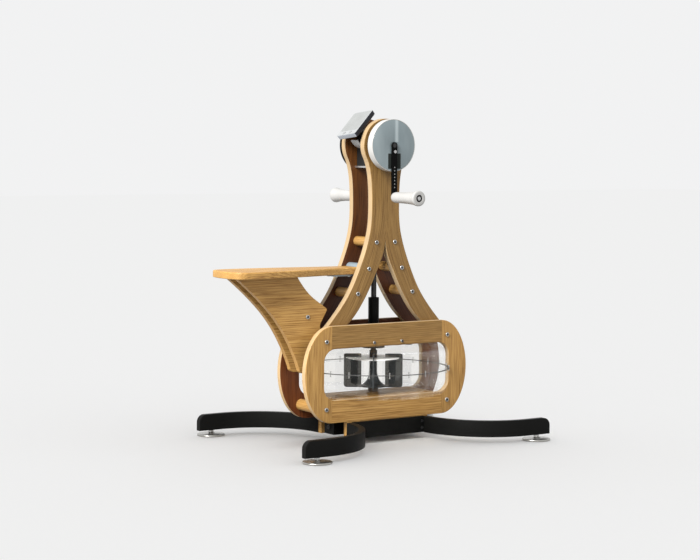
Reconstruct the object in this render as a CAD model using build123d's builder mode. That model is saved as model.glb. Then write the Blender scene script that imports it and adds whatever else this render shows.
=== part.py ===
"""Water-resistance arm-crank machine with a built-in wooden bench seat.

Two oak side frames stand on a black bent-wood base and hold a clear water tank between
their rings. A crankshaft through the frame heads turns a paddle in the tank through a
right-angle bevel drive. Every real piece is a solid of its own.

Millimetres. X runs along the machine with the seat at -X, the front frame is at -Y, Z is
up, and the origin is the point of the floor under the middle of the crankshaft.
"""

import os
from math import atan2, cos, hypot, pi, radians, sin, tan

from build123d import *

os.makedirs("parts", exist_ok=True)

# Side frames
AXLE_Z = 1034.4
HEAD_R = 92.5
LEG_INNER = 47.0
LEG_THICK = 24.0
LEG_OUTER = LEG_INNER + LEG_THICK
RING_THICK = 20.0
RING_OUTER = LEG_OUTER + RING_THICK
RING_MID_Z = 247.5
RING_HALF_HEIGHT = 167.5
RING_HALF_LENGTH = 343.0
SEAM_X = 234.0
OPENING_HALF = 265.0
OPENING_LOW = 158.0
OPENING_HIGH = 336.0
OPENING_CORNER = 46.0
SPLIT_Z = 700.0
LEG_FOOT_Z = 345.0
LEG_BOLTS = [(38.7, 697.6), (69.6, 606.3), (115.8, 520.5)]
RING_BOLT_X = 257.0
RING_BOLT_TOP = 362.4
RING_BOLT_LOW = 128.4
ROD_R = 4.0
LEG_DOWEL_R = 17.0
RING_DOWEL_R = 20.0
EDGE = 2.5

# Tank
TANK_R = 265.0
TANK_LOW = 162.0
TANK_HIGH = 333.0
TANK_WALL = 4.0
TANK_ROUND = 50.0
SEAM_Z = 252.6
FLANGE_R = 270.0
FLANGE_HEIGHT = 7.0
GASKET = 2.0
NECK_R = 22.0
NECK_TOP = 348.0
PLUG_X = 150.0
PLUG_BORE_R = 15.0
HOLD_BAR_X = 58.8
HOLD_BAR_Z = 349.7

# Seat
SEAT_LOW = 587.0
SEAT_THICK = 24.0
SEAT_TIP_X = -618.0
SEAT_INNER_X = -88.0
WING_INNER = 19.5
WING_OUTER = 39.5
WING_BOLT = (-301.5, 446.2)

# Base
BASE_LOW = 20.0
ARM_HEIGHT = 57.0
ARM_THICK = 22.0
ARM_ROOT_X = 162.0
FOOT_X = 460.0
FOOT_Y = 349.0
ARM_R = FOOT_Y - RING_OUTER
ARM_END_X = 512.0
FOOT_R = 50.0
FOOT_STEM_R = 6.0
RUN_GAP = 0.05

# Drive
SHAFT_R = 9.5
SHAFT_JOINT_Z = 430.0
AXLE_R = 12.5
AXLE_END_R = 8.0
BEARING_R = 26.0
BOX_HALF_X = 46.0
BOX_HALF_Y = 46.0
BOX_LOW = 962.0
BOX_HIGH = 1081.0
BOX_WALL = 5.0
CROWN_TEETH = 24
PINION_TEETH = 12
GEAR_MODULE = 3.0
TOOTH_FACE = 14.0

# Cranks
CRANK_LENGTH = 180.0
DRUM_R = 90.4
DRUM_INNER = 88.0
DRUM_OUTER = 117.0
ARM_INNER = {"front": 118.0, "back": 96.0}
CRANK_THICK = 6.0
CRANK_WIDTH = 22.0
GRIP_GAP = 1.0
GRIP_LENGTH = 145.0
PIN_R = 6.0
GRIP_Z = AXLE_Z - CRANK_LENGTH

# Monitor: the middle of its face, its slope from level and its turn in its own plane
FACE_X = -85.3
FACE_Z = 1111.5
FACE_SLOPE = radians(43.0)
FACE_TURN = radians(9.2)
CASE_WIDTH = 100.0
CASE_HEIGHT = 124.0
CASE_THICK = 18.0
PIVOT_BEHIND = 9.0
BUTTON_R = 6.0

SIDES = {"front": -1, "back": 1}
ENDS = {"left": -1, "right": 1}


def save(piece, name):
    """Label a finished piece and write it to its own file."""
    piece.part.label = name
    export_step(piece.part, f"parts/{name}.step")


def board_plane(side, inner, thick):
    """XZ plane from which extruding by thick fills inner..inner+thick on that side."""
    return Plane.XZ.offset(inner if side == "front" else -(inner + thick))


def across(half):
    """XZ plane at Y=+half; extruding by 2*half reaches Y=-half."""
    return Plane.XZ.offset(-half)


def rim_edges(part, side):
    """Edges round the outline of a board's outer face, without its glued seams."""
    face = part.faces().filter_by(Axis.Y).sort_by(Axis.Y)[0 if side == "front" else -1]
    edges = face.outer_wire().edges()
    seams = [
        e for e in edges
        if e.geom_type == GeomType.LINE and abs((e @ 0).X - (e @ 1).X) < 0.01
        and (abs(e.center().X) < 1 or abs(abs(e.center().X) - SEAM_X) < 1)
    ]
    return [e for e in edges if e not in seams]


# ---------------------------------------------------------------- side frames
def leg_board(side, end):
    """Half of a side frame: half the round head, the neck and one spreading leg."""
    s = ENDS[end]
    arc_end = radians(-28)
    head_end = (s * HEAD_R * cos(arc_end), AXLE_Z + HEAD_R * sin(arc_end))
    head_mid = (s * HEAD_R * cos(radians(35)), AXLE_Z + HEAD_R * sin(radians(35)))
    outer = [(58, 817), (64, 740), (84, 668), (112, 598), (143, 535), (179, 482), (246, 406)]
    inner = [(225, LEG_FOOT_Z), (175, 397), (135, 436), (98, 483), (62, 543), (31, 605), (9, 655)]
    with BuildPart() as leg:
        with BuildSketch(board_plane(side, LEG_INNER, LEG_THICK)):
            with BuildLine():
                ThreePointArc((0, AXLE_Z + HEAD_R), head_mid, head_end)
                Spline(
                    head_end, (s * 58, 817),
                    tangents=[(s * sin(arc_end), -cos(arc_end)), (0, -1)],
                )
                Spline(
                    *[(s * x, z) for x, z in outer], (s * 300, LEG_FOOT_Z + 8),
                    tangents=[(0, -1), (s * 0.7, -0.7)],
                )
                Polyline(
                    (s * 300, LEG_FOOT_Z + 8), (s * 292, LEG_FOOT_Z), (s * inner[0][0], LEG_FOOT_Z)
                )
                Spline(
                    *[(s * x, z) for x, z in inner], (0, SPLIT_Z),
                    tangents=[(-s * 0.8, 0.6), (-s * 0.15, 1)],
                )
                Line((0, SPLIT_Z), (0, AXLE_Z + HEAD_R))
            make_face()
            with Locations((0, AXLE_Z)):
                Circle(BEARING_R, mode=Mode.SUBTRACT)
            with Locations(*[(s * x, z) for x, z in LEG_BOLTS], (s * RING_BOLT_X, RING_BOLT_TOP)):
                Circle(ROD_R, mode=Mode.SUBTRACT)
        extrude(amount=LEG_THICK)
        fillet(rim_edges(leg, side), EDGE)
    return leg


def ring_outline():
    """Sketch of a whole ring: a bar with elliptical ends round a rounded opening."""
    with Locations((0, RING_MID_Z)):
        Rectangle(2 * SEAM_X, 2 * RING_HALF_HEIGHT)
    with Locations((-SEAM_X, RING_MID_Z), (SEAM_X, RING_MID_Z)):
        Ellipse(RING_HALF_LENGTH - SEAM_X, RING_HALF_HEIGHT)
    with Locations((0, (OPENING_LOW + OPENING_HIGH) / 2)):
        RectangleRounded(
            2 * OPENING_HALF, OPENING_HIGH - OPENING_LOW, OPENING_CORNER, mode=Mode.SUBTRACT
        )


def ring_end(side, end):
    """Curved end piece of a ring, butt-jointed to the rails."""
    s = ENDS[end]
    width = RING_HALF_LENGTH - SEAM_X
    with BuildPart() as ring:
        with BuildSketch(board_plane(side, LEG_OUTER, RING_THICK)):
            ring_outline()
            with Locations((s * (SEAM_X + width), RING_MID_Z)):
                Rectangle(2 * width, 2 * RING_HALF_HEIGHT, mode=Mode.INTERSECT)
            with Locations((s * RING_BOLT_X, RING_BOLT_TOP), (s * RING_BOLT_X, RING_BOLT_LOW)):
                Circle(ROD_R, mode=Mode.SUBTRACT)
        extrude(amount=RING_THICK)
        fillet(rim_edges(ring, side), EDGE)
    return ring


def ring_rail(side, upper):
    """Straight top or bottom rail of a ring; the top one has the hold-bar rod holes."""
    with BuildPart() as rail:
        with BuildSketch(board_plane(side, LEG_OUTER, RING_THICK)):
            ring_outline()
            with Locations((0, RING_MID_Z + (1 if upper else -1) * RING_HALF_HEIGHT / 2)):
                Rectangle(2 * SEAM_X, RING_HALF_HEIGHT, mode=Mode.INTERSECT)
            if upper:
                with Locations((-HOLD_BAR_X, HOLD_BAR_Z), (HOLD_BAR_X, HOLD_BAR_Z)):
                    Circle(ROD_R, mode=Mode.SUBTRACT)
        extrude(amount=RING_THICK)
        fillet(rim_edges(rail, side), EDGE)
    return rail


for side in SIDES:
    for end in ENDS:
        save(leg_board(side, end), f"{side}_{end}_leg_board")
        save(ring_end(side, end), f"{side}_{end}_ring_end")

for name, upper in (("ring_top_rails", True), ("ring_bottom_rails", False)):
    pair = [ring_rail(side, upper).part for side in SIDES]
    with BuildPart() as rails:
        add(pair)
    save(rails, name)

# Turned oak dowels keep the frames apart; the seat bracket takes the place of one of them.
leg_dowel_spots = [(s * x, z) for x, z in LEG_BOLTS for s in (-1, 1)]
leg_dowel_spots.remove((-LEG_BOLTS[1][0], LEG_BOLTS[1][1]))
with BuildPart() as dowels:
    with BuildSketch(across(LEG_INNER)):
        with Locations(*leg_dowel_spots):
            Circle(LEG_DOWEL_R)
            Circle(ROD_R, mode=Mode.SUBTRACT)
        with Locations((-RING_BOLT_X, RING_BOLT_TOP), (RING_BOLT_X, RING_BOLT_TOP)):
            Circle(RING_DOWEL_R)
            Circle(ROD_R, mode=Mode.SUBTRACT)
    extrude(amount=2 * LEG_INNER)
    with BuildSketch(across(LEG_OUTER)):
        with Locations((-RING_BOLT_X, RING_BOLT_LOW), (RING_BOLT_X, RING_BOLT_LOW)):
            Circle(RING_DOWEL_R)
            Circle(ROD_R, mode=Mode.SUBTRACT)
    extrude(amount=2 * LEG_OUTER)
save(dowels, "frame_dowels")

# Tie rods with domed heads run from face to face through boards and dowels.
tie_rods = [((s * x, z), LEG_OUTER, 7.5) for x, z in LEG_BOLTS for s in (-1, 1)]
tie_rods += [
    ((s * RING_BOLT_X, z), RING_OUTER, 7.5) for z in (RING_BOLT_TOP, RING_BOLT_LOW) for s in (-1, 1)
]
tie_rods += [((s * HOLD_BAR_X, HOLD_BAR_Z), RING_OUTER, 5.5) for s in (-1, 1)]


def tie_rod(spot, half, head_r):
    """One rod along Y with a domed, socketed head at each end."""
    head = 3.6
    with BuildPart() as rod:
        with BuildSketch(across(half)):
            with Locations(spot):
                Circle(ROD_R)
        extrude(amount=2 * half)
        for face_y, push in ((half, head), (-half, -head)):
            with BuildSketch(Plane.XZ.offset(-face_y)):
                with Locations(spot):
                    Circle(head_r)
            extrude(amount=-push)
        domes = rod.edges().filter_by(GeomType.CIRCLE).group_by(Axis.Y)
        fillet([e for e in (*domes[0], *domes[-1]) if e.radius > ROD_R + 1], 1.6)
        for face_y, pull in ((half + head, 2.2), (-half - head, -2.2)):
            with BuildSketch(Plane.XZ.offset(-face_y)):
                with Locations(spot):
                    RegularPolygon(2.9, 6)
            extrude(amount=pull, mode=Mode.SUBTRACT)
    return rod.part


rods = [tie_rod(*rod) for rod in tie_rods]
with BuildPart() as frame_bolts:
    add(rods)
save(frame_bolts, "frame_bolts")

# ----------------------------------------------------------------------- seat
# Steel bracket: a tube held by a tie rod between the left legs, with a plate under the seat.
bracket_x = -LEG_BOLTS[1][0]
bracket_z = LEG_BOLTS[1][1]
with BuildPart() as seat_bracket:
    with BuildSketch(across(LEG_INNER)):
        with Locations((bracket_x, bracket_z)):
            Circle(LEG_DOWEL_R)
    extrude(amount=2 * LEG_INNER)
    with BuildSketch(across(38)):
        with Locations((-128, SEAT_LOW - 3)):
            Rectangle(128, 6)
        with Locations((bracket_x - 4, SEAT_LOW + 3)):
            Rectangle(16, 14)
    extrude(amount=76)
    with BuildSketch(across(LEG_INNER)):
        with Locations((bracket_x, bracket_z)):
            Circle(ROD_R)
    extrude(amount=2 * LEG_INNER, mode=Mode.SUBTRACT)
    with BuildSketch(Plane.XY.offset(SEAT_LOW - 6)):
        with Locations((-175, -24), (-175, 24), (-120, -24), (-120, 24)):
            Circle(3)
    extrude(amount=6, mode=Mode.SUBTRACT)
save(seat_bracket, "seat_bracket")

# Seat: a board that narrows towards the legs, with a bowed outer end and soft edges.
with BuildPart() as seat:
    with BuildSketch(Plane.XY.offset(SEAT_LOW)):
        with BuildLine():
            for s in (1, -1):
                Spline(
                    (SEAT_TIP_X + 8, s * 66), (SEAT_TIP_X + 22, s * 91), (-560, s * 100),
                    (-440, s * 94), (-300, s * 73), (-190, s * 53), (-122, s * 45.5),
                    (SEAT_INNER_X, s * 44),
                )
            ThreePointArc((SEAT_TIP_X + 8, 66), (SEAT_TIP_X, 0), (SEAT_TIP_X + 8, -66))
            Line((SEAT_INNER_X, 44), (SEAT_INNER_X, -44))
        make_face()
    extrude(amount=SEAT_THICK)
    fillet(seat.edges().group_by(Axis.Z)[-1], 5)
    fillet(seat.faces().sort_by(Axis.Z)[0].outer_wire().edges(), 3)
    with BuildSketch(Plane.XY.offset(SEAT_LOW)):
        with Locations((-175, -24), (-175, 24), (-120, -24), (-120, 24)):
            Circle(3)
    extrude(amount=14, mode=Mode.SUBTRACT)
save(seat, "seat_board")


def seat_wing(side):
    """Fin under the seat: it grips the upper left ring dowel with its lower lobe."""
    with BuildPart() as wing:
        with BuildSketch(board_plane(side, WING_INNER, WING_OUTER - WING_INNER)):
            with BuildLine():
                Spline(
                    (-582, SEAT_LOW), (-531, 545), (-483, 501), (-427, 440), (-377, 364), (-334, 268)
                )
                ThreePointArc((-334, 268), (-329, 257), (-318, 253))
                Line((-318, 253), (-296, 253))
                Spline((-296, 253), (-290, 300), (-268, 336), (-240, 340))
                Spline((-240, 340), (-226, 352), (-226, 374), (-247, 400), (-249, 422))
                Line((-249, 422), (-226, 461))
                ThreePointArc((-226, 461), (-224, 470), (-231, 477))
                Spline((-231, 477), (-246, 488), (-284, 515), (-313, 544), (-344, SEAT_LOW))
                Line((-344, SEAT_LOW), (-582, SEAT_LOW))
            make_face()
            with Locations((-RING_BOLT_X, RING_BOLT_TOP)):
                Circle(RING_DOWEL_R, mode=Mode.SUBTRACT)
            with Locations(WING_BOLT):
                Circle(ROD_R, mode=Mode.SUBTRACT)
        extrude(amount=WING_OUTER - WING_INNER)
    return wing


for side in SIDES:
    save(seat_wing(side), f"{side}_seat_wing")

# A dowel ties the wings together and two bushes centre them on the ring dowel.
with BuildPart() as seat_spacers:
    with BuildSketch(across(WING_INNER)):
        with Locations(WING_BOLT):
            Circle(16)
            Circle(ROD_R, mode=Mode.SUBTRACT)
    extrude(amount=2 * WING_INNER)
    for side in SIDES:
        with BuildSketch(board_plane(side, WING_OUTER, LEG_INNER - WING_OUTER)):
            with Locations((-RING_BOLT_X, RING_BOLT_TOP)):
                Circle(RING_DOWEL_R + 8)
                Circle(RING_DOWEL_R, mode=Mode.SUBTRACT)
        extrude(amount=LEG_INNER - WING_OUTER)
save(seat_spacers, "seat_spacers")

wing_rod = tie_rod(WING_BOLT, WING_OUTER, 7.5)
with BuildPart() as seat_bolts:
    add(wing_rod)
    with BuildSketch(Plane.XY.offset(SEAT_LOW - 9)):
        with Locations((-175, -24), (-175, 24), (-120, -24), (-120, 24)):
            Circle(5.5)
    extrude(amount=3)
    with BuildSketch(Plane.XY.offset(SEAT_LOW - 6)):
        with Locations((-175, -24), (-175, 24), (-120, -24), (-120, 24)):
            Circle(3)
    extrude(amount=20)
save(seat_bolts, "seat_bolts")


# ----------------------------------------------------------------------- base
def base_arm(side, end):
    """Bent-wood arm: a quarter circle out from the frame, then a short run over its foot."""
    sx, sy = ENDS[end], SIDES[side]
    centre_x = ARM_ROOT_X + ARM_R
    run = ARM_END_X - centre_x
    with BuildPart() as arm:
        with BuildSketch(Plane.XY.offset(BASE_LOW)):
            with Locations((sx * centre_x, sy * RING_OUTER)):
                Circle(ARM_R + ARM_THICK / 2)
                Circle(ARM_R - ARM_THICK / 2, mode=Mode.SUBTRACT)
            with Locations((sx * (centre_x - 150), sy * (RING_OUTER + 150))):
                Rectangle(300, 300, mode=Mode.INTERSECT)
            with Locations((sx * (centre_x + run / 2), sy * FOOT_Y)):
                Rectangle(run, ARM_THICK)
        extrude(amount=ARM_HEIGHT)
        tip = [
            e for e in arm.edges().filter_by(Axis.Y)
            if abs(abs(e.center().X) - ARM_END_X) < 0.1 and e.center().Z > BASE_LOW + 1
        ]
        fillet(tip, 26)
        with BuildSketch(Plane.XY.offset(BASE_LOW)):
            with Locations((sx * FOOT_X, sy * FOOT_Y)):
                Circle(FOOT_STEM_R + RUN_GAP)
        extrude(amount=38, mode=Mode.SUBTRACT)
    return arm


def levelling_foot(side, end):
    """Steel foot: a wide disc, a lock nut and a stem that turns in the arm."""
    with BuildPart() as foot:
        with BuildSketch(Plane.XZ):
            with BuildLine():
                Polyline(
                    (0, 0), (FOOT_R - 1.5, 0), (FOOT_R, 1.5), (FOOT_R, 5), (FOOT_R - 2, 6.5),
                    (14, 8.5), (9, 11), (FOOT_STEM_R, 11), (FOOT_STEM_R, 54), (0, 54), (0, 0),
                )
            make_face()
        revolve(axis=Axis.Z)
        with BuildSketch(Plane.XY.offset(12.5)):
            RegularPolygon(10.5, 6)
        extrude(amount=6.5)
    with BuildPart() as placed:
        add(foot.part.moved(Location((ENDS[end] * FOOT_X, SIDES[side] * FOOT_Y, 0))))
    return placed


for side in SIDES:
    for end in ENDS:
        save(base_arm(side, end), f"{side}_{end}_base_arm")
        save(levelling_foot(side, end), f"{side}_{end}_foot")

plank_half = ARM_ROOT_X - ARM_THICK / 2
plank_thick = 10.0
plank_screws = [(s * (plank_half - 9), z) for s in (-1, 1) for z in (38, 62)]
with BuildPart() as base_planks:
    for side in SIDES:
        with BuildSketch(board_plane(side, RING_OUTER, plank_thick)):
            with Locations((0, BASE_LOW + 30)):
                Rectangle(2 * plank_half, ARM_HEIGHT)
            with Locations(*plank_screws):
                Circle(3, mode=Mode.SUBTRACT)
        extrude(amount=plank_thick)
save(base_planks, "base_planks")

cheek_half = ARM_ROOT_X + ARM_THICK / 2 - 2
ring_low = RING_MID_Z - RING_HALF_HEIGHT
with BuildPart() as base_cheeks:
    for side in SIDES:
        with BuildSketch(board_plane(side, LEG_OUTER, RING_THICK)):
            with Locations((0, (BASE_LOW + ring_low) / 2)):
                Rectangle(2 * cheek_half, ring_low - BASE_LOW)
        extrude(amount=RING_THICK)
        with BuildSketch(board_plane(side, RING_OUTER - 12, 12)):
            with Locations(*plank_screws):
                Circle(3)
        extrude(amount=12, mode=Mode.SUBTRACT)
save(base_cheeks, "base_cheeks")

beam_half, beam_z = 185.0, 53.0
with BuildPart() as base_beam:
    with Locations((0, 0, beam_z)):
        Box(2 * beam_half, 60, 50)
    with Locations((-45, 0, beam_z), (45, 0, beam_z)):
        Box(40, 2 * LEG_OUTER, 44)
    for s in (-1, 1):
        with BuildSketch(Plane.YZ.offset(s * beam_half)):
            with Locations((0, beam_z)):
                Circle(ROD_R)
        extrude(amount=-s * 30, mode=Mode.SUBTRACT)
save(base_beam, "base_beam")

with BuildPart() as base_screws:
    for side in SIDES:
        with BuildSketch(board_plane(side, RING_OUTER - 12, plank_thick + 12)):
            with Locations(*plank_screws):
                Circle(3)
        extrude(amount=plank_thick + 12)
        with BuildSketch(board_plane(side, RING_OUTER + plank_thick, 2)):
            with Locations(*plank_screws):
                Circle(5)
        extrude(amount=2)
    for s in (-1, 1):
        with BuildSketch(Plane.YZ.offset(s * beam_half)):
            with Locations((0, beam_z)):
                Circle(ROD_R)
        extrude(amount=-s * 30)
        with BuildSketch(Plane.YZ.offset(s * beam_half)):
            with Locations((0, beam_z)):
                Circle(8)
                Circle(4, mode=Mode.SUBTRACT)
        extrude(amount=s * 4)
        with BuildSketch(Plane.YZ.offset(s * beam_half)):
            with Locations((0, beam_z)):
                Circle(4)
        extrude(amount=s * 1.5)
save(base_screws, "base_screws")


# ----------------------------------------------------------------------- tank
def rounded_dish(radius, low, high, corner, top):
    """Half-section of a round dish whose top or bottom outer corner is rounded."""
    with BuildSketch(Plane.XZ, mode=Mode.PRIVATE) as dish:
        with Locations((0, low)):
            Rectangle(radius, high - low, align=(Align.MIN, Align.MIN))
        level = dish.vertices().group_by(Axis.Y)[-1 if top else 0]
        fillet(level.sort_by(Axis.X)[-1], corner)
    return dish.sketch


def tank_shell(top):
    """Half of the tank: a turned dish with a bolting flange at its mouth."""
    low, high = (SEAM_Z + GASKET / 2, TANK_HIGH) if top else (TANK_LOW, SEAM_Z - GASKET / 2)
    flange_low = low if top else high - FLANGE_HEIGHT
    wall_low = low if top else low + TANK_WALL
    wall_high = high - TANK_WALL if top else high
    with BuildPart() as shell:
        add(rounded_dish(TANK_R, low, high, TANK_ROUND, top))
        revolve(axis=Axis.Z)
        with BuildSketch(Plane.XY.offset(flange_low)):
            Circle(FLANGE_R)
        extrude(amount=FLANGE_HEIGHT)
        add(rounded_dish(TANK_R - TANK_WALL, wall_low, wall_high, TANK_ROUND - TANK_WALL, top))
        revolve(axis=Axis.Z, mode=Mode.SUBTRACT)
        with BuildSketch(Plane.XY.offset(flange_low)):
            with PolarLocations((TANK_R + FLANGE_R) / 2, 24, start_angle=7.5):
                Circle(1.5)
        extrude(amount=FLANGE_HEIGHT, mode=Mode.SUBTRACT)
        if top:
            with BuildSketch(Plane.XY.offset(TANK_HIGH - TANK_WALL)):
                Circle(NECK_R)
            extrude(amount=NECK_TOP - TANK_HIGH + TANK_WALL)
            with BuildSketch(Plane.XY.offset(TANK_HIGH - TANK_WALL - 1)):
                Circle(16)
                with Locations((PLUG_X, 0)):
                    Circle(PLUG_BORE_R)
            extrude(amount=NECK_TOP - TANK_HIGH + TANK_WALL + 2, mode=Mode.SUBTRACT)
    return shell


save(tank_shell(top=False), "tank_lower_shell")

save(tank_shell(top=True), "tank_upper_shell")

with BuildPart() as tank_gasket:
    with BuildSketch(Plane.XY.offset(SEAM_Z - GASKET / 2)):
        Circle(FLANGE_R - 0.5)
        Circle(TANK_R - TANK_WALL, mode=Mode.SUBTRACT)
        with PolarLocations((TANK_R + FLANGE_R) / 2, 24, start_angle=7.5):
            Circle(1.5, mode=Mode.SUBTRACT)
    extrude(amount=GASKET)
save(tank_gasket, "tank_gasket")

# Flange screws with a flat head above and a nut below.
stack = 2 * FLANGE_HEIGHT + GASKET
with BuildPart() as tank_screws:
    for low, tall, r in ((0, stack, 1.5), (stack, 1.8, 2.4), (-1.8, 1.8, 2.4)):
        with BuildSketch(Plane.XY.offset(SEAM_Z - stack / 2 + low)):
            with PolarLocations((TANK_R + FLANGE_R) / 2, 24, start_angle=7.5):
                Circle(r)
        extrude(amount=tall)
save(tank_screws, "tank_screws")

with BuildPart() as tank_plug:
    with BuildSketch(Plane.XY.offset(TANK_HIGH + 0.3)):
        with Locations((PLUG_X, 0)):
            Circle(22)
    extrude(amount=9)
    fillet(tank_plug.edges().group_by(Axis.Z)[-1], 2.5)
    with BuildSketch(Plane.XY.offset(TANK_HIGH - 9)):
        with Locations((PLUG_X, 0)):
            Circle(PLUG_BORE_R - RUN_GAP)
    extrude(amount=9.5)
save(tank_plug, "tank_plug")

# The tank stands on a board and is held down by two bars across the top rails.
with BuildPart() as tank_cradle:
    with Locations((0, 0, TANK_LOW - 10)):
        Box(400, 2 * LEG_OUTER, 20)
    with BuildSketch(across(LEG_OUTER)):
        with Locations((-HOLD_BAR_X, (TANK_HIGH + 362) / 2), (HOLD_BAR_X, (TANK_HIGH + 362) / 2)):
            Rectangle(26, 362 - TANK_HIGH)
        with Locations((-HOLD_BAR_X, HOLD_BAR_Z), (HOLD_BAR_X, HOLD_BAR_Z)):
            Circle(ROD_R, mode=Mode.SUBTRACT)
    extrude(amount=2 * LEG_OUTER)
save(tank_cradle, "tank_cradle")

STUB_R = 8.0
bearing_low = TANK_LOW + TANK_WALL
with BuildPart() as tank_bearings:
    with BuildSketch(Plane.XY.offset(TANK_HIGH - 9)):
        Circle(16)
        Circle(SHAFT_R + RUN_GAP, mode=Mode.SUBTRACT)
    extrude(amount=NECK_TOP - TANK_HIGH + 9)
    with BuildSketch(Plane.XY.offset(TANK_HIGH - TANK_WALL - 7)):
        Circle(40)
        Circle(SHAFT_R + RUN_GAP, mode=Mode.SUBTRACT)
    extrude(amount=7)
    with BuildSketch(Plane.XY.offset(bearing_low)):
        Circle(18)
    extrude(amount=16)
    with BuildSketch(Plane.XY.offset(bearing_low + 4)):
        Circle(STUB_R + RUN_GAP)
    extrude(amount=12, mode=Mode.SUBTRACT)
save(tank_bearings, "tank_bearings")

# Paddle: a moulded hub on a spreading foot, a top disc, and four vanes hung between them.
VANE_IN, VANE_OUT, VANE_LOW, VANE_HIGH = 42.0, 104.0, 180.0, 300.0
DISC_R, DISC_Z = 92.0, 284.0
with BuildPart() as impeller:
    with BuildSketch(Plane.XZ):
        with BuildLine():
            Polyline(
                (13.5, 226), (13.5, DISC_Z), (DISC_R, DISC_Z), (DISC_R, DISC_Z + 3), (13.5, DISC_Z + 3),
                (13.5, 312), (SHAFT_R, 314), (SHAFT_R, SHAFT_JOINT_Z), (0, SHAFT_JOINT_Z),
                (0, bearing_low + 4.3), (STUB_R, bearing_low + 4.3), (STUB_R, 183),
                (VANE_IN + 6, 183), (VANE_IN + 6, 187),
            )
            Spline(
                (VANE_IN + 6, 187), (30, 197), (13.5, 226), tangents=[(-0.95, 0.3), (0, 1)]
            )
        make_face()
    revolve(axis=Axis.Z)
    with BuildSketch(Plane.XY.offset(VANE_LOW)):
        with PolarLocations((VANE_IN + VANE_OUT) / 2, 4, start_angle=-34):
            Rectangle(VANE_OUT - VANE_IN, 4)
    extrude(amount=VANE_HIGH - VANE_LOW)
save(impeller, "impeller")

# ---------------------------------------------------------------------- drive
journal_r = 7.0
with BuildPart() as drive_shaft:
    with BuildSketch(Plane.XY.offset(SHAFT_JOINT_Z)):
        Circle(SHAFT_R)
    extrude(amount=BOX_LOW + 12 - SHAFT_JOINT_Z)
    with BuildSketch(Plane.XY.offset(BOX_LOW + 12)):
        Circle(journal_r)
    extrude(amount=AXLE_Z - 22 - BOX_LOW - 12)
save(drive_shaft, "drive_shaft")

coupling_low, coupling_high = NECK_TOP + 4, 500.0
with BuildPart() as shaft_coupling:
    with BuildSketch(Plane.XY.offset(coupling_low)):
        Circle(19)
        Circle(SHAFT_R, mode=Mode.SUBTRACT)
    extrude(amount=coupling_high - coupling_low)
    fillet(shaft_coupling.edges().group_by(Axis.Z)[-1].sort_by(SortBy.RADIUS)[-1], 2)
    with BuildSketch(across(19)):
        with Locations((0, coupling_high - 16)):
            Circle(2.5)
    extrude(amount=9, mode=Mode.SUBTRACT)
save(shaft_coupling, "shaft_coupling")

with BuildPart() as gearbox_housing:
    with Locations((0, 0, (BOX_LOW + BOX_HIGH) / 2)):
        Box(2 * BOX_HALF_X, 2 * BOX_HALF_Y, BOX_HIGH - BOX_LOW)
    fillet(gearbox_housing.edges().filter_by(Axis.Z), 6)
    with Locations((0, 0, (BOX_LOW + BOX_HIGH - BOX_WALL) / 2)):
        Box(
            2 * (BOX_HALF_X - BOX_WALL), 2 * (BOX_HALF_Y - BOX_WALL), BOX_HIGH - BOX_LOW - BOX_WALL,
            mode=Mode.SUBTRACT,
        )
    with BuildSketch(across(BOX_HALF_Y)):
        with Locations((0, AXLE_Z)):
            Circle(AXLE_R + 1.5)
    extrude(amount=2 * BOX_HALF_Y, mode=Mode.SUBTRACT)
save(gearbox_housing, "gearbox_housing")

with BuildPart() as gearbox_base_plate:
    with Locations((0, 0, BOX_LOW - 3)):
        Box(2 * BOX_HALF_X + 8, 2 * LEG_INNER, 6)
    with BuildSketch(Plane.XY.offset(BOX_LOW - 14)):
        Circle(22)
    extrude(amount=8)
    with BuildSketch(Plane.XY.offset(BOX_LOW - 14)):
        Circle(SHAFT_R + RUN_GAP)
    extrude(amount=14, mode=Mode.SUBTRACT)
save(gearbox_base_plate, "gearbox_base_plate")


def bevel_gear(teeth, mate_teeth, bore_r, hub_length, start):
    """Straight bevel gear about +Z with its cone apex at the origin, teeth facing the apex.

    The root cone is turned, and each tooth is a loft between two similar trapezoids that
    shrink towards the apex.
    """
    pitch_r = GEAR_MODULE * teeth / 2
    mate_r = GEAR_MODULE * mate_teeth / 2
    cone = hypot(pitch_r, mate_r)
    lean = atan2(pitch_r, mate_r)
    inner = (cone - TOOTH_FACE) / cone
    rise, depth = 0.8 * GEAR_MODULE, 1.1 * GEAR_MODULE
    half_pitch = 0.2 * pi * GEAR_MODULE
    half_tip = half_pitch - rise * tan(radians(20))
    half_root = half_pitch + (depth + 0.4) * tan(radians(20))

    def on_cone(scale, across_tooth):
        """Point (radius, height) that far across the cone, at that share of its length."""
        r = pitch_r + across_tooth * cos(lean)
        z = mate_r - across_tooth * sin(lean)
        return (r * scale, z * scale)

    root_out, root_in = on_cone(1, -depth), on_cone(inner, -depth)
    with BuildPart() as gear:
        with BuildSketch(Plane.XZ):
            with BuildLine():
                Polyline(
                    (bore_r, root_in[1]), root_in, root_out, (root_out[0], root_out[1] + hub_length),
                    (bore_r, root_out[1] + hub_length), (bore_r, root_in[1]),
                )
            make_face()
        revolve(axis=Axis.Z)
        with BuildPart(mode=Mode.PRIVATE) as tooth:
            for scale in (1, inner):
                middle = on_cone(scale, 0)
                face = Plane(
                    origin=(middle[0], 0, middle[1]), x_dir=(0, 1, 0), z_dir=(sin(lean), 0, cos(lean))
                )
                with BuildSketch(face):
                    Polygon(
                        (-half_root * scale, (depth + 0.4) * scale),
                        (half_root * scale, (depth + 0.4) * scale),
                        (half_tip * scale, -rise * scale), (-half_tip * scale, -rise * scale),
                        align=None,
                    )
            loft()
        with PolarLocations(0, teeth, start_angle=start):
            add(tooth.part)
    return gear


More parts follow.
